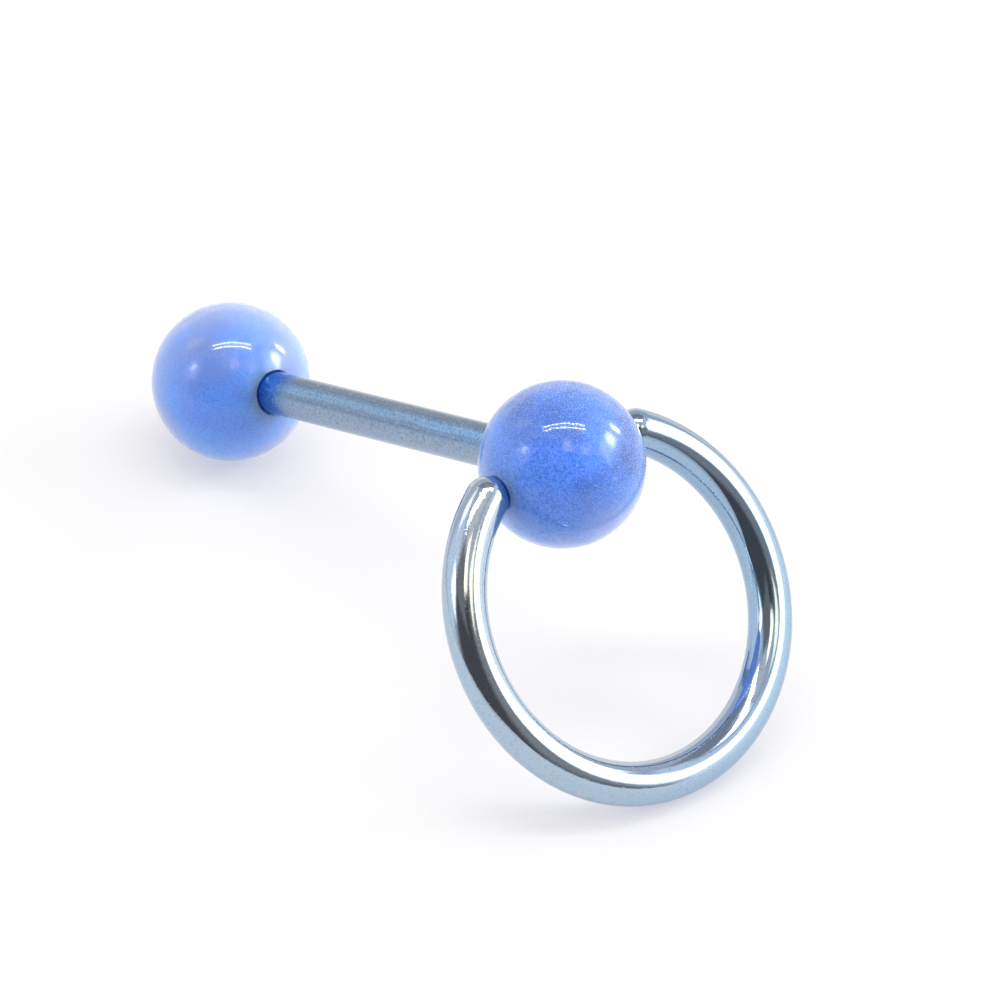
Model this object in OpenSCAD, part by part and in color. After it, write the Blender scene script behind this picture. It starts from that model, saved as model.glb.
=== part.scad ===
// Door knocker tongue barbell, in millimetres.
// A straight bar with a ball at each end, and a ring that swings in two dimples of the front ball.
// It rests as it is set down: the rear ball and the foot of the ring touch the surface at z = 0,
// and together they prop the front ball up. +X is the axis that the ring swings about,
// +Y points from the foot of the ring to the rear ball, and the origin is the middle of the base.

/* [Bar] */
// Diameter of the bar, 14 gauge
bar_d = 1.6; // [1.5:0.05:1.7]
// Length of the bar between the two balls
wear_len = 14.2; // [12:0.1:20]
// Diameter of the stud on each end of the bar
stud_d = 1.2; // [0.8:0.05:1.2]
// Length of each stud, which ends inside its ball
stud_len = 3; // [2:0.1:3.5]
// Chamfer around each end of the bar
bar_chamfer = 0.1; // [0.02:0.01:0.12]

/* [Balls] */
// Diameter of both balls
ball_d = 6; // [5.5:0.1:6.5]
// Gap around the bar where it enters a ball
recess_gap = 0.05; // [0.05:0.01:0.3]
// Depth of the recess that the bar enters, from the round of the ball
recess_depth = 0.65; // [0.5:0.05:0.9]
// Depth to which the end of the bar goes into the recess
seat_depth = 0.3; // [0.2:0.02:0.4]
// Width of the broken edge around the recess
recess_edge = 0.03; // [0.02:0.01:0.12]
// Depth of the two dimples that hold the ring
dimple_depth = 0.4; // [0.3:0.02:0.5]

/* [Ring] */
// Diameter of the ring's wire
wire_d = 1.6; // [1.4:0.05:1.7]
// Inside diameter of the ring
ring_inner_d = 11.2; // [10.5:0.1:13]
// Angle at which the resting ring slopes down from the front ball
ring_lean = 51; // [40:1:60]

/* [Hidden] */
$fn = 96;

// Gap between a stud and its bore, and between a ring end and its dimple
fit_gap = 0.05;
// Extra length of a cut that passes through a surface
over = 1;

bar_r = bar_d / 2;
stud_r = stud_d / 2;
ball_r = ball_d / 2;
recess_r = bar_r + recess_gap;
wire_r = wire_d / 2;
ring_r = ring_inner_d / 2 + wire_r;
// Radius of the round that ends the ring's wire, a little over the wire's own
end_r = wire_r + 0.002;

// Distance between the centres of the two balls
span = wear_len + ball_d;
// Height above a ball's centre of the bar's shoulder, of the floor of the bore and of the recess's mouth
shoulder_z = ball_r - seat_depth;
bore_floor_z = shoulder_z - stud_len;
mouth_z = sqrt(ball_r * ball_r - recess_r * recess_r);

// The rounded ends of the ring are centred on the swing axis, this far from the ball's centre
pivot_x = ball_r - dimple_depth + fit_gap + end_r;
// Half of the angle that the ring leaves open for the ball
open_half = asin(pivot_x / ring_r);
// Distance from the front ball's centre to the ring's centre
ring_offset = ring_r * cos(open_half);

// Reach of the ring from the swing axis to the centre line of its foot
ring_reach = ring_offset + ring_r;
// Height of the front ball's centre, and the slope of the bar from it down to the rear ball
front_z = ring_reach * sin(ring_lean) + wire_r;
bar_slope = asin((front_z - ball_r) / span);
// Place of the front ball's centre that puts the middle of the base at the origin
front_y = (ring_reach * cos(ring_lean) + wire_r - span * cos(bar_slope) - ball_r) / 2;

// Moves its children to the front ball's centre, with their +Z along the bar to the rear ball
module on_bar_axis() {
    translate([0, front_y, front_z])
        rotate([-90 - bar_slope, 0, 0])
            children();
}

// One end of the bar's outline, as radius and height from the near ball's centre
bar_end = [
    [0, bore_floor_z],
    [stud_r, bore_floor_z],
    [stud_r, shoulder_z],
    [bar_r - bar_chamfer, shoulder_z],
    [bar_r, shoulder_z + bar_chamfer]
];

// Straight bar with a shoulder and a plain stud at each end
module bar() {
    far_end = [for (i = [len(bar_end) - 1 : -1 : 0]) [bar_end[i][0], span - bar_end[i][1]]];
    color("lightsteelblue")
        on_bar_axis()
            rotate_extrude()
                polygon(concat(bar_end, far_end));
}

// Ball around the origin with a blind bore and a recess that open along +Z
module bored_ball() {
    difference() {
        sphere(r = ball_r);
        translate([0, 0, bore_floor_z])
            cylinder(r = stud_r + fit_gap, h = ball_r);
        translate([0, 0, ball_r - recess_depth])
            cylinder(r = recess_r, h = recess_depth + over);
        translate([0, 0, mouth_z - recess_edge])
            cylinder(r1 = recess_r, r2 = recess_r + recess_edge + over, h = recess_edge + over);
    }
}

// Front ball, with a dimple on each side for the ends of the ring
module front_ball() {
    color("cornflowerblue")
        on_bar_axis()
            difference() {
                bored_ball();
                for (side = [-1, 1])
                    translate([side * pivot_x, 0, 0])
                        sphere(r = end_r + fit_gap);
            }
}

// Rear ball, which screws off the bar
module rear_ball() {
    color("cornflowerblue")
        on_bar_axis()
            translate([0, 0, span])
                mirror([0, 0, 1])
                    bored_ball();
}

// Open ring of round wire, with a round end on each side of the opening
module ring() {
    color("lightblue")
        translate([0, front_y, front_z])
            rotate([ring_lean, 0, 0])
                translate([0, -ring_offset, 0]) {
                    rotate([0, 0, 90 + open_half])
                        rotate_extrude(angle = 360 - 2 * open_half)
                            translate([ring_r, 0])
                                circle(r = wire_r);
                    for (side = [-1, 1])
                        translate([side * pivot_x, ring_offset, 0])
                            sphere(r = end_r);
                }
}

bar();
front_ball();
rear_ball();
ring();
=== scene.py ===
from collections import namedtuple
from math import cos, pi, radians, sin

import bmesh
import bpy
from mathutils import Matrix, Vector


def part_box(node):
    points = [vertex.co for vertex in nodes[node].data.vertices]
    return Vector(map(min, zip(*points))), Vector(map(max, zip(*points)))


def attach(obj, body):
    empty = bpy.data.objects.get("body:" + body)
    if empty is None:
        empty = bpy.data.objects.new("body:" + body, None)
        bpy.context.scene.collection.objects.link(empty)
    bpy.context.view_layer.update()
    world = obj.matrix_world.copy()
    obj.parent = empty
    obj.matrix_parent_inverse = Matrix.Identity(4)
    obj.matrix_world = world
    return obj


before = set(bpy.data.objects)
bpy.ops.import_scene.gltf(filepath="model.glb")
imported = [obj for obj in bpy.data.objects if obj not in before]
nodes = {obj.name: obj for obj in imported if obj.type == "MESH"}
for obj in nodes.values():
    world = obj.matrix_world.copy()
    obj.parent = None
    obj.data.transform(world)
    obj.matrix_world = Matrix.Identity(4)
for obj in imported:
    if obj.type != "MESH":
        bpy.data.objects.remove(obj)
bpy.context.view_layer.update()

MM = 0.001

# The camera's place and aim, from the outlines of the balls, the bar and the ring in the photograph
CAMERA_AT = Vector((-132.0, -155.2, 151.3)) * MM
CAMERA_AZIMUTH = radians(41.047)
CAMERA_DROP = radians(35.763)
CAMERA_ROLL = radians(2.29)
CAMERA_LENS = 247.8
CAMERA_CLIP = (0.02, 10)


def middle(node):
    """Middle of a CAD node's box, which is a ball's centre."""
    low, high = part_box(node)
    return (Vector(low) + Vector(high)) / 2


FRONT_CENTRE = middle("front_ball")
REAR_CENTRE = middle("rear_ball")

# The bar's direction from the front ball to the rear ball, the ring's swing axis, and the direction that is
# square to both and points upwards
BAR_ALONG = (REAR_CENTRE - FRONT_CENTRE).normalized()
SWING_AXIS = Vector((1, 0, 0))
BAR_UP = SWING_AXIS.cross(BAR_ALONG)


def add_camera():
    look = Vector((
        sin(CAMERA_AZIMUTH) * cos(CAMERA_DROP),
        cos(CAMERA_AZIMUTH) * cos(CAMERA_DROP),
        -sin(CAMERA_DROP),
    ))
    level = Vector((cos(CAMERA_AZIMUTH), -sin(CAMERA_AZIMUTH), 0))
    upright = level.cross(look)
    right = level * cos(CAMERA_ROLL) + upright * sin(CAMERA_ROLL)
    up = right.cross(look)
    data = bpy.data.cameras.new("camera")
    data.lens = CAMERA_LENS
    data.clip_start, data.clip_end = CAMERA_CLIP
    camera = bpy.data.objects.new("camera", data)
    turn = Matrix((right, up, -look)).transposed().to_4x4()
    camera.matrix_world = Matrix.Translation(CAMERA_AT) @ turn
    bpy.context.scene.collection.objects.link(camera)
    bpy.context.scene.camera = camera


# Most values of a noise texture lie between these two
NOISE_LOW = 0.3
NOISE_HIGH = 0.7


def rgba(value):
    """A colour with its alpha. Anything else is left as it is."""
    return (*value, 1.0) if isinstance(value, tuple) and len(value) == 3 else value


class Tree:
    """Short ways to add nodes to a material's or the world's node tree."""

    def __init__(self, owner):
        owner.use_nodes = True
        self.tree = owner.node_tree
        self.tree.nodes.clear()

    def feed(self, socket, value):
        """Links another node's output to a socket, or sets the socket to a value."""
        if isinstance(value, bpy.types.NodeSocket):
            self.tree.links.new(value, socket)
        else:
            socket.default_value = value

    def add(self, kind, *inputs, out=0, **settings):
        """Adds a node, feeds its inputs in their order, and gives back the output that out names."""
        node = self.tree.nodes.new(kind)
        for name, value in settings.items():
            setattr(node, name, value)
        for socket, value in zip(node.inputs, inputs):
            self.feed(socket, value)
        return node.outputs[out] if node.outputs else None

    def add_named(self, kind, out=0, **inputs):
        """Adds a node and feeds inputs by name, with underscores for the spaces of their names."""
        node = self.tree.nodes.new(kind)
        for name, value in inputs.items():
            self.feed(node.inputs[name.replace("_", " ")], value)
        return node.outputs[out]

    def place(self):
        """The place on the object, in the object's own frame."""
        return self.add("ShaderNodeTexCoord", out="Object")

    def math(self, operation, *inputs):
        return self.add("ShaderNodeMath", *inputs, operation=operation)

    def from_point(self, place, point):
        """The vector from a point to the place."""
        return self.add("ShaderNodeVectorMath", place, point, operation="SUBTRACT")

    def measure(self, operation, *vectors):
        """A number made from vectors, such as a length, a distance or a dot product."""
        return self.add("ShaderNodeVectorMath", *vectors, operation=operation, out="Value")

    def ramp(self, value, low, high, to_low=0.0, to_high=1.0):
        """Goes smoothly from to_low to to_high as value goes from low to high."""
        return self.add(
            "ShaderNodeMapRange", value, low, high, to_low, to_high, interpolation_type="SMOOTHSTEP"
        )

    def mix(self, share, a, b, blend="MIX"):
        """Mixes two colours."""
        node = self.tree.nodes.new("ShaderNodeMix")
        node.data_type = "RGBA"
        node.blend_type = blend
        node.clamp_factor = True
        colours = [s for s in node.inputs if s.type == "RGBA"]
        self.feed(node.inputs[0], share)
        self.feed(colours[0], rgba(a))
        self.feed(colours[1], rgba(b))
        return next(s for s in node.outputs if s.type == "RGBA")

    def noise(self, place, scale, detail, roughness=0.5):
        """A noise texture's value, about 0.5 in the mean."""
        return self.add_named(
            "ShaderNodeTexNoise", Vector=place, Scale=scale, Detail=detail, Roughness=roughness
        )

    def wander(self, value, place, scale, reach):
        """Shifts a value by up to reach either way, in soft clouds."""
        cloud = self.noise(place, scale, 3)
        return self.math("ADD", value, self.ramp(cloud, NOISE_LOW, NOISE_HIGH, -reach, reach))

    def bump(self, height, depth):
        """A bump that is as high as depth where height is 1."""
        return self.add_named("ShaderNodeBump", Strength=1.0, Distance=depth, Height=height)

    def surface(self, **inputs):
        """Gives the material its surface, a Principled shader with these inputs."""
        for name, value in inputs.items():
            if name.endswith("Color"):
                inputs[name] = rgba(value)
        self.add("ShaderNodeOutputMaterial", self.add_named("ShaderNodeBsdfPrincipled", **inputs))


# The room that the metal mirrors: a radiance, with patches of others over it. Azimuths are 0 along +Y and
# 90 along +X, and elevations are up from level, in degrees. Each patch has its middle, half its size and
# the width of its soft edge in both. A patch without a soft side goes all round, and a later patch covers
# an earlier one.
ROOM = (0.80, 0.74, 0.76)
Patch = namedtuple("Patch", "azimuth half_width soft_side elevation half_height soft_top radiance")
ROOM_PATCHES = (
    # Dim top of the wall behind the object, and a warm band at its foot
    Patch(40, 62, 14, 62, 14, 8, (0.44, 0.40, 0.43)),
    Patch(42, 44, 16, 5, 10, 8, (1.40, 1.12, 1.00)),
    # Pale wall at the left
    Patch(-48, 24, 14, 18, 36, 10, (1.10, 1.07, 1.14)),
    # Bright band low at the right, and another above the window
    Patch(119, 31, 8, 0, 10, 8, (1.62, 1.46, 1.38)),
    Patch(122, 34, 10, 50, 6, 6, (1.15, 1.07, 1.12)),
    # Dim wall to the right of the camera, and its darker foot
    Patch(-178, 26, 16, 20, 32, 7, (0.44, 0.38, 0.35)),
    Patch(-178, 26, 14, -2, 10, 8, (0.26, 0.27, 0.31)),
    # Dark side behind the camera, and a dim part above it
    Patch(-125, 43, 24, 24, 28, 7, (0.13, 0.11, 0.11)),
    Patch(-110, 27, 10, 52, 13, 8, (0.33, 0.27, 0.25)),
    # Warm band of ceiling above the camera, and two warm lamps below it
    Patch(-155, 60, 10, 75, 7, 6, (1.05, 0.90, 0.78)),
    Patch(-151, 13, 4, 61, 8, 4, (3.60, 2.60, 1.60)),
    Patch(171, 11, 6, 47, 6, 4, (2.70, 2.15, 1.45)),
    # Two warm spots at the left
    Patch(-26, 8, 6, 40, 10, 6, (2.30, 2.00, 1.85)),
    Patch(-69, 12, 8, 28, 10, 6, (2.30, 2.10, 2.00)),
    # Bright wall around the window
    Patch(122, 29, 9, 24, 12, 8, (2.80, 2.70, 2.60)),
    # Bright ceiling at the right, at the left and overhead
    Patch(130, 20, 10, 73, 10, 6, (2.80, 2.70, 2.60)),
    Patch(-56, 15, 8, 74, 9, 6, (2.80, 2.70, 2.60)),
    Patch(0, 180, 0, 90, 7, 4, (2.80, 2.70, 2.60)),
    # Glow around the window, the window, and a narrow bright pane beside it
    Patch(134, 17, 18, 32, 9, 12, (5.0, 5.0, 5.3)),
    Patch(122, 7.5, 11, 30, 6.5, 10, (18.0, 18.5, 19.0)),
    Patch(102, 3, 4, 24, 6, 4, (26.0, 26.0, 26.0)),
    # Small window at the left
    Patch(-68, 4, 6, 32, 4, 6, (9.0, 8.2, 9.4)),
)

# Two rows of small lamps overhead, along this azimuth. Lengths are for a height of 1 above the object, and a
# direction that rises less than STRIP_LOWEST counts as that high.
STRIP_AZIMUTH = radians(125.5)
STRIP_HALF_LENGTH = 0.47
STRIP_END_BLUR = 0.04
STRIP_HALF_GAP = 0.054
STRIP_LOWEST = 0.01
ROW_HALF_WIDTH = 0.017
LAMP_SPACING = 0.085
LAMP_RADIANCE = (38.0, 38.0, 39.0)
# Share of a lamp's light between two lamps
BETWEEN_LAMPS = 0.12


def inside(t, distance, half_width, blur):
    """1 up to half_width from the middle and 0 beyond it, with an edge as wide as blur."""
    return t.ramp(distance, half_width - blur / 2, half_width + blur / 2, 1.0, 0.0)


def patch_share(t, patch, azimuth, elevation):
    """Share of a direction's light that comes from a patch."""
    above = t.math("ABSOLUTE", t.math("SUBTRACT", elevation, patch.elevation))
    share = inside(t, above, patch.half_height, patch.soft_top)
    if not patch.soft_side:
        return share
    turn = t.math("WRAP", t.math("SUBTRACT", azimuth, patch.azimuth), 180.0, -180.0)
    return t.math("MULTIPLY", share, inside(t, t.math("ABSOLUTE", turn), patch.half_width, patch.soft_side))


def strip_share(t, x, y, z):
    """Share of a direction's light that comes from the rows of lamps."""
    high = t.math("MAXIMUM", z, STRIP_LOWEST)
    east, north = sin(STRIP_AZIMUTH), cos(STRIP_AZIMUTH)
    along = t.math("ADD", t.math("MULTIPLY", x, east), t.math("MULTIPLY", y, north))
    along = t.math("DIVIDE", along, high)
    across = t.math("SUBTRACT", t.math("MULTIPLY", y, east), t.math("MULTIPLY", x, north))
    across = t.math("DIVIDE", across, high)
    from_row = t.math("ABSOLUTE", t.math("SUBTRACT", t.math("ABSOLUTE", across), STRIP_HALF_GAP))
    in_row = inside(t, from_row, ROW_HALF_WIDTH, ROW_HALF_WIDTH)
    in_length = inside(t, t.math("ABSOLUTE", along), STRIP_HALF_LENGTH, STRIP_END_BLUR)
    wave = t.math("SINE", t.math("MULTIPLY", along, 2 * pi / LAMP_SPACING))
    lamps = t.ramp(wave, -1.0, 1.0, BETWEEN_LAMPS, 1.0)
    return t.math("MULTIPLY", t.math("MULTIPLY", in_row, in_length), lamps)


def add_world():
    world = bpy.data.worlds.new("room")
    bpy.context.scene.world = world
    t = Tree(world)
    split = t.tree.nodes.new("ShaderNodeSeparateXYZ")
    t.feed(split.inputs[0], t.add("ShaderNodeTexCoord", out="Generated"))
    x, y, z = split.outputs
    azimuth = t.math("DEGREES", t.math("ARCTAN2", x, y))
    elevation = t.math("DEGREES", t.math("ARCSINE", z))
    colour = ROOM
    for patch in ROOM_PATCHES:
        colour = t.mix(patch_share(t, patch, azimuth, elevation), colour, patch.radiance)
    colour = t.mix(strip_share(t, x, y, z), colour, LAMP_RADIANCE)
    t.add("ShaderNodeOutputWorld", t.add("ShaderNodeBackground", colour, 1.0))


# The floor glows around the object as a painted pool of light, with painted contact shadow where ambient
# occlusion finds nooks under it, and glows less far away
FLOOR_HALF = 2.0
POOL_OF_LIGHT_GLOW = (0.695, 0.705, 0.71)
PAINTED_SHADOW_GLOW = (0.47, 0.48, 0.56)
PAINTED_SHADOW_REACH = 8 * MM
PAINTED_SHADOW_SAMPLES = 4
FAR_GLOW = (0.42, 0.42, 0.42)
FAR_START = 60 * MM
FAR_END = 100 * MM


def floor_material():
    material = bpy.data.materials.new("floor")
    t = Tree(material)
    away = t.measure("LENGTH", t.place())
    shadow_occlusion = t.tree.nodes.new("ShaderNodeAmbientOcclusion")
    shadow_occlusion.samples = PAINTED_SHADOW_SAMPLES
    shadow_occlusion.inputs["Distance"].default_value = PAINTED_SHADOW_REACH
    # Painted contact shadow: the glow drops to a darker, bluer tone where the object closes over the floor
    pool_with_painted_shadow = t.mix(shadow_occlusion.outputs["AO"], PAINTED_SHADOW_GLOW, POOL_OF_LIGHT_GLOW)
    t.surface(
        Base_Color=(0.21, 0.21, 0.21),
        Roughness=0.6,
        Specular_IOR_Level=0.2,
        Emission_Color=t.mix(t.ramp(away, FAR_START, FAR_END), pool_with_painted_shadow, FAR_GLOW),
        Emission_Strength=1.0,
    )
    return material


def add_floor():
    corners = [(x * FLOOR_HALF, y * FLOOR_HALF, 0) for x, y in ((-1, -1), (1, -1), (1, 1), (-1, 1))]
    mesh = bpy.data.meshes.new("floor")
    mesh.from_pydata(corners, [], [(0, 1, 2, 3)])
    mesh.materials.append(floor_material())
    floor = bpy.data.objects.new("floor", mesh)
    bpy.context.scene.collection.objects.link(floor)


# Scale of the soft clouds on the metal
METAL_CLOUDS = 300
# The metal's grain rises in small sharp specks between these two values of its noise
SPECK_START = 0.58
SPECK_FULL = 0.74
# A tone of the grain. It comes in as the noise goes from start to full, up to a share.
Fleck = namedtuple("Fleck", "start full share tone")


def metal_grain(t, place, scale):
    """Fine grain of metal: a noise, and its few highest spots as small sharp specks."""
    grain = t.noise(place, scale, 2, 0.6)
    return grain, t.ramp(grain, SPECK_START, SPECK_FULL)


def add_flecks(t, colour, grain, fleck):
    """Lays a tone of the grain over a colour."""
    return t.mix(t.ramp(grain, fleck.start, fleck.full, 0.0, fleck.share), colour, fleck.tone)


# The ring's anodised tone at its -X and its +X side, painted lighter at -X and darker at +X as painted
# reflection, with the two places between which it changes and how far clouds shift them
RING_LEFT_TONE_PAINTED_LIGHTER = (0.41, 0.525, 0.645)
RING_RIGHT_TONE_PAINTED_DARKER = (0.325, 0.47, 0.63)
RING_PAINTED_SHADE_START = -5.0 * MM
RING_PAINTED_SHADE_END = 4.0 * MM
RING_CLOUD_SHIFT = 1.0 * MM
# Fine grain of the ring, its dark flecks, and the tone, share and height of its specks
RING_GRAIN = 13000
RING_DARK = Fleck(0.45, 0.28, 0.5, (0.17, 0.26, 0.36))
RING_SPECK_TONE = (0.62, 0.68, 0.74)
RING_SPECK_SHARE = 0.5
RING_SPECK_HEIGHT = 0.001 * MM
# The specks are stronger at the -X side than at the +X side, and change between these two places
RING_LEFT_SPECKS = 0.7
RING_RIGHT_SPECKS = 0.25
RING_SPECKS_START = -4.0 * MM
RING_SPECKS_END = 2.0 * MM


def ring_material():
    """Mirror-polished anodised metal with small specks, in two tones that run into each other: the lighter
    -X side and darker +X side are painted reflection.
    """
    material = bpy.data.materials.new("blue_polished_steel")
    t = Tree(material)
    place = t.place()
    across = t.wander(t.measure("DOT_PRODUCT", place, SWING_AXIS), place, METAL_CLOUDS, RING_CLOUD_SHIFT)
    grain, specks = metal_grain(t, place, RING_GRAIN)
    strength = t.ramp(across, RING_SPECKS_START, RING_SPECKS_END, RING_LEFT_SPECKS, RING_RIGHT_SPECKS)
    specks = t.math("MULTIPLY", specks, strength)
    # Painted reflection: the ring is lighter towards -X and darker towards +X
    colour = t.mix(t.ramp(across, RING_PAINTED_SHADE_START, RING_PAINTED_SHADE_END), RING_LEFT_TONE_PAINTED_LIGHTER, RING_RIGHT_TONE_PAINTED_DARKER)
    colour = add_flecks(t, colour, grain, RING_DARK)
    colour = t.mix(t.math("MULTIPLY", specks, RING_SPECK_SHARE), colour, RING_SPECK_TONE)
    t.surface(
        Base_Color=colour,
        Metallic=1.0,
        Roughness=t.ramp(grain, NOISE_LOW, NOISE_HIGH, 0.03, 0.08),
        Normal=t.bump(specks, RING_SPECK_HEIGHT),
    )
    return material


# The bar's anodised tone by the angle around it, in degrees up from its -X side, in lengthwise bands of
# painted reflection, and how far clouds shift it
Band = namedtuple("Band", "angle tone")
BAR_PAINTED_REFLECTION_BANDS = (
    Band(0, (0.28, 0.37, 0.50)),
    Band(14, (0.26, 0.35, 0.48)),
    Band(27, (0.185, 0.275, 0.395)),
    Band(36, (0.185, 0.28, 0.405)),
    Band(46, (0.29, 0.50, 0.73)),
    Band(55, (0.28, 0.51, 0.77)),
    Band(65, (0.185, 0.34, 0.55)),
    Band(75, (0.10, 0.215, 0.355)),
    Band(87, (0.06, 0.15, 0.275)),
    Band(98, (0.13, 0.24, 0.35)),
    Band(110, (0.20, 0.30, 0.43)),
)
BAR_CLOUD_SHIFT = 2.0
# Painted reflection of the front ball: a blue tint of the upper bands near it. It comes in and goes out
# between these angles, and fades between these distances from the front ball's centre.
FRONT_BALL_PAINTED_REFLECTION = (0.97, 1.13, 1.24)
FRONT_REFLECTION_IN = (14, 27)
FRONT_REFLECTION_OUT = (54, 64)
FRONT_REFLECTION_FADE = (4.0 * MM, 9.0 * MM)
# The deep blue end of the bar by the rear ball, a painted reflection and shade of that ball, and the plain
# stud beyond it.
# Each tone comes in between two distances from the front ball's centre.
BAR_END_PAINTED_SHADE = (0.05, 0.19, 0.50)
BAR_END_SHADE_IN = (15.2 * MM, 16.8 * MM)
STUD_TONE = (0.34, 0.44, 0.55)
STUD_IN = (17.4 * MM, 17.5 * MM)
# Fine grain of the bar, its pale and its dark flecks, and the height of its specks
BAR_GRAIN = 11000
BAR_PALE = Fleck(0.53, 0.68, 0.4, (0.46, 0.53, 0.63))
BAR_DARK = Fleck(0.47, 0.30, 0.6, (0.10, 0.17, 0.25))
BAR_SPECK_HEIGHT = 0.0025 * MM


def bar_material():
    """Satin anodised metal with soft lengthwise bands of painted reflection, a painted reflection of the
    front ball, and a deep blue end of painted reflection and shade.
    """
    material = bpy.data.materials.new("blue_satin_steel")
    t = Tree(material)
    place = t.place()
    grain, specks = metal_grain(t, place, BAR_GRAIN)
    from_start = t.from_point(place, FRONT_CENTRE)
    along = t.measure("DOT_PRODUCT", from_start, BAR_ALONG)
    up = t.measure("DOT_PRODUCT", from_start, BAR_UP)
    side = t.measure("DOT_PRODUCT", from_start, -SWING_AXIS)
    around = t.math("DEGREES", t.math("ARCTAN2", up, side))
    around = t.wander(around, place, METAL_CLOUDS, BAR_CLOUD_SHIFT)
    # Painted reflection: light and dark lengthwise bands around the bar
    colour = BAR_PAINTED_REFLECTION_BANDS[0].tone
    for below, band in zip(BAR_PAINTED_REFLECTION_BANDS, BAR_PAINTED_REFLECTION_BANDS[1:]):
        colour = t.mix(t.ramp(around, below.angle, band.angle), colour, band.tone)
    # Painted reflection of the front ball on the upper bands near it
    upper = t.math("MULTIPLY", t.ramp(around, *FRONT_REFLECTION_IN), t.ramp(around, *FRONT_REFLECTION_OUT, 1.0, 0.0))
    front_reflection_share = t.math("MULTIPLY", upper, t.ramp(along, *FRONT_REFLECTION_FADE, 1.0, 0.0))
    colour = t.mix(front_reflection_share, colour, FRONT_BALL_PAINTED_REFLECTION, "MULTIPLY")
    # Painted reflection and shade of the rear ball at the bar's end
    colour = t.mix(t.ramp(along, *BAR_END_SHADE_IN), colour, BAR_END_PAINTED_SHADE)
    colour = t.mix(t.ramp(along, *STUD_IN), colour, STUD_TONE)
    colour = add_flecks(t, colour, grain, BAR_PALE)
    colour = add_flecks(t, colour, grain, BAR_DARK)
    t.surface(
        Base_Color=colour,
        Metallic=1.0,
        Roughness=t.ramp(grain, NOISE_LOW, NOISE_HIGH, 0.10, 0.22),
        Normal=t.bump(specks, BAR_SPECK_HEIGHT),
    )
    return material


# Direction that most light comes from. A ball's colour is painted darker on the side towards this light and
# paler on its far side, as painted shade and painted through-light. Its tone changes between these two
# distances from its centre, measured towards the light.
TOWARDS_LIGHT = Vector((0.10, -0.07, 0.99))
LOW_TONE_END = -1.5 * MM
HIGH_TONE_START = 1.2 * MM
# The deep blue, painted shade, is full up to the first distance from the spot where it is deepest, and ends
# at the second.
# Clouds shift both.
PAINTED_SHADE_CORE = 0.2 * MM
PAINTED_SHADE_REACH = 4.6 * MM
ACRYLIC_CLOUDS = 500
ACRYLIC_CLOUD_SHIFT = 1.0 * MM
# Dark mottles inside the acrylic. Outside the deep blue only a share of them shows.
MOTTLE_SCALE = 9000
MOTTLE_START = 0.48
MOTTLE_FULL = 0.60
MOTTLE_TONE = (0.04, 0.17, 0.66)
SHALLOW_SHARE = 0.2
# Pale speckle inside the acrylic
SPECKLE_SCALE = 24000
SPECKLE_START = 0.5
SPECKLE_FULL = 0.68
SPECKLE_TONE = (0.43, 0.55, 0.91)

# Each ball's tones, with painted shade at the place where it is deepest, from its centre, and how much it is
# speckled and mottled
FRONT_ACRYLIC = dict(
    painted_shade_spot=Vector((-2.2, -1.4, 1.3)) * MM,
    painted_shade_tone=(0.115, 0.32, 0.96),
    painted_light_side_tone=(0.055, 0.115, 0.35),
    painted_through_light_tone=(0.31, 0.42, 0.87),
    speckle=0.5,
    mottling=0.75,
)
REAR_ACRYLIC = dict(
    painted_shade_spot=Vector((-2.2, -2.0, 0.1)) * MM,
    painted_shade_tone=(0.14, 0.35, 1.0),
    painted_light_side_tone=(0.187, 0.28, 0.565),
    painted_through_light_tone=(0.26, 0.325, 0.64),
    speckle=0.3,
    mottling=0.35,
)


def acrylic_material(name, centre, painted_shade_spot, painted_shade_tone, painted_light_side_tone, painted_through_light_tone, speckle, mottling):
    """Blue acrylic, cloudy and speckled inside and polished outside, with painted shade as its deepest blue
    at the given spot, and painted through-light on the side away from the light.
    """
    material = bpy.data.materials.new(name)
    t = Tree(material)
    place = t.place()
    from_centre = t.from_point(place, centre)
    lit = t.measure("DOT_PRODUCT", from_centre, TOWARDS_LIGHT)
    away = t.measure("DISTANCE", from_centre, painted_shade_spot)
    away = t.wander(away, place, ACRYLIC_CLOUDS, ACRYLIC_CLOUD_SHIFT)
    # Painted shade: deep blue around the spot where the ball is deepest
    painted_shade_share = t.ramp(away, PAINTED_SHADE_CORE, PAINTED_SHADE_REACH, 1.0, 0.0)
    mottles = t.ramp(t.noise(place, MOTTLE_SCALE, 3, 0.75), MOTTLE_START, MOTTLE_FULL)
    mottles = t.math("MULTIPLY", mottles, t.ramp(painted_shade_share, 0.0, 1.0, SHALLOW_SHARE * mottling, mottling))
    speckles = t.ramp(t.noise(place, SPECKLE_SCALE, 1), SPECKLE_START, SPECKLE_FULL, 0.0, speckle)
    # Painted shade towards the light and painted through-light on the far side
    colour = t.mix(t.ramp(lit, LOW_TONE_END, HIGH_TONE_START), painted_through_light_tone, painted_light_side_tone)
    colour = t.mix(painted_shade_share, colour, painted_shade_tone)
    colour = t.mix(mottles, colour, MOTTLE_TONE)
    colour = t.mix(speckles, colour, SPECKLE_TONE)
    t.surface(
        Base_Color=colour,
        Roughness=0.35,
        IOR=1.49,
        Specular_IOR_Level=0.0,
        Subsurface_Weight=1.0,
        Subsurface_Radius=(0.6, 0.8, 1.0),
        Subsurface_Scale=2 * MM,
        Subsurface_Anisotropy=0.3,
        Coat_Weight=1.0,
        Coat_Roughness=0.02,
        Coat_IOR=1.49,
    )
    return material


# The thread on the rear stud. Its start is measured along the bar from the rear ball's centre, and its flank
# is half the width of the ridge's root.
THREAD_START = -2.5 * MM
THREAD_LENGTH = 2.65 * MM
THREAD_PITCH = 0.25 * MM
THREAD_FLANK = 0.42 * THREAD_PITCH
THREAD_ROOT = 0.585 * MM
THREAD_CREST = 0.64 * MM
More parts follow.
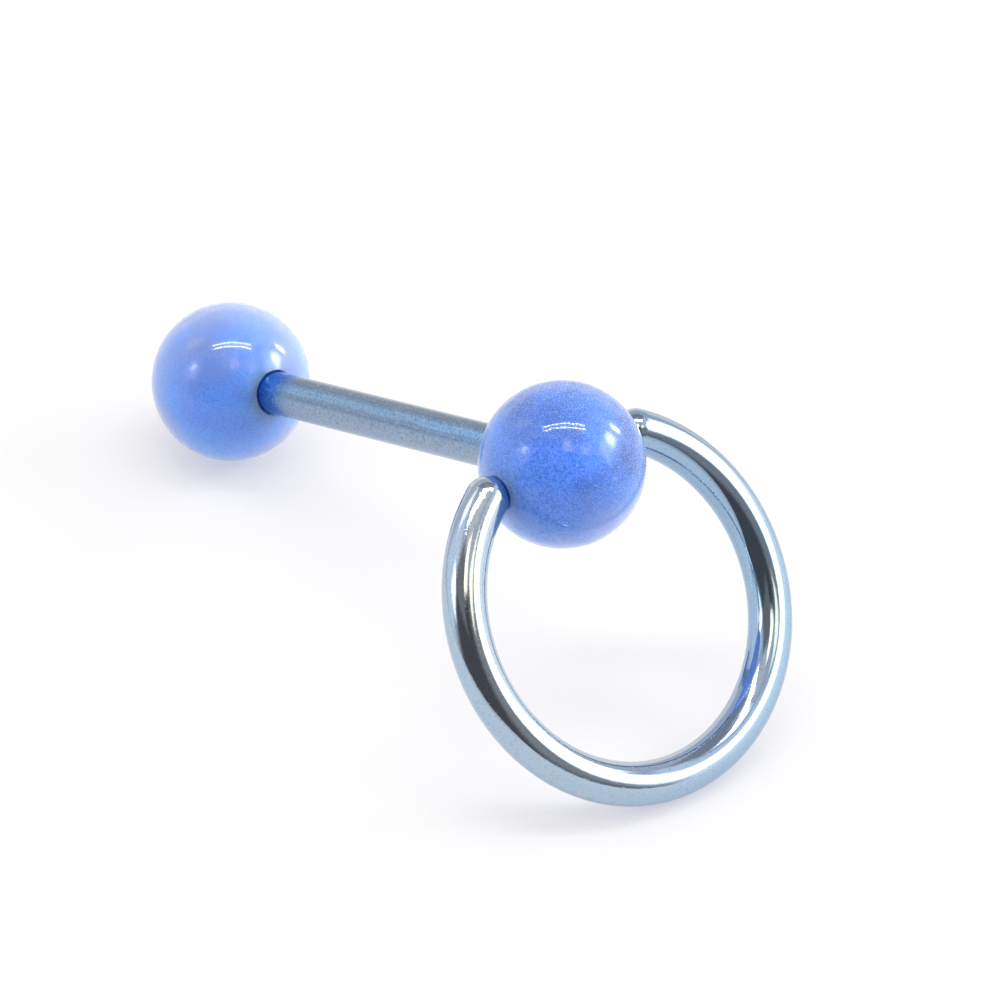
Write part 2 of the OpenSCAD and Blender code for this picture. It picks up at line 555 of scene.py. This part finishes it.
# At both ends the ridge falls over this length to this share of its height
THREAD_RUN_OUT = 0.1 * MM
THREAD_LOWEST = 0.1
SECTIONS_A_TURN = 32


def thread_section(along):
    """Root, crest and root again of the ridge, at this length of the thread."""
    angle = 2 * pi * along / THREAD_PITCH
    outward = SWING_AXIS * cos(angle) - BAR_UP * sin(angle)
    from_end = min(along, THREAD_LENGTH - along)
    full = min(1, THREAD_LOWEST + from_end / THREAD_RUN_OUT)
    root = REAR_CENTRE + BAR_ALONG * (THREAD_START + along) + outward * THREAD_ROOT
    crest = root + outward * (full * (THREAD_CREST - THREAD_ROOT))
    flank = BAR_ALONG * THREAD_FLANK
    return root - flank, crest, root + flank


def add_thread(material):
    """Ridge of the rear stud's thread: a helix with a three-sided section that runs out at both ends."""
    sections = round(THREAD_LENGTH / THREAD_PITCH * SECTIONS_A_TURN)
    ridge = bmesh.new()
    rows = []
    for i in range(sections + 1):
        section = thread_section(THREAD_LENGTH * i / sections)
        rows.append([ridge.verts.new(point) for point in section])
    for here, there in zip(rows, rows[1:]):
        for i in range(3):
            ridge.faces.new((here[i], here[i - 1], there[i - 1], there[i]))
    ridge.faces.new(rows[0])
    ridge.faces.new(rows[-1])
    bmesh.ops.recalc_face_normals(ridge, faces=ridge.faces)
    mesh = bpy.data.meshes.new("stud_thread")
    ridge.to_mesh(mesh)
    ridge.free()
    mesh.materials.append(material)
    thread = bpy.data.objects.new("stud_thread", mesh)
    bpy.context.scene.collection.objects.link(thread)
    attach(thread, "barbell")


def dress(name, material):
    """Gives a CAD node its material."""
    mesh = nodes[name].data
    mesh.materials.clear()
    mesh.materials.append(material)


bpy.context.scene.view_settings.view_transform = "Standard"
add_camera()
add_floor()
add_world()
dress("front_ball", acrylic_material("blue_acrylic_front", FRONT_CENTRE, **FRONT_ACRYLIC))
dress("rear_ball", acrylic_material("blue_acrylic_rear", REAR_CENTRE, **REAR_ACRYLIC))
bar_metal = bar_material()
dress("bar", bar_metal)
add_thread(bar_metal)
dress("ring", ring_material())
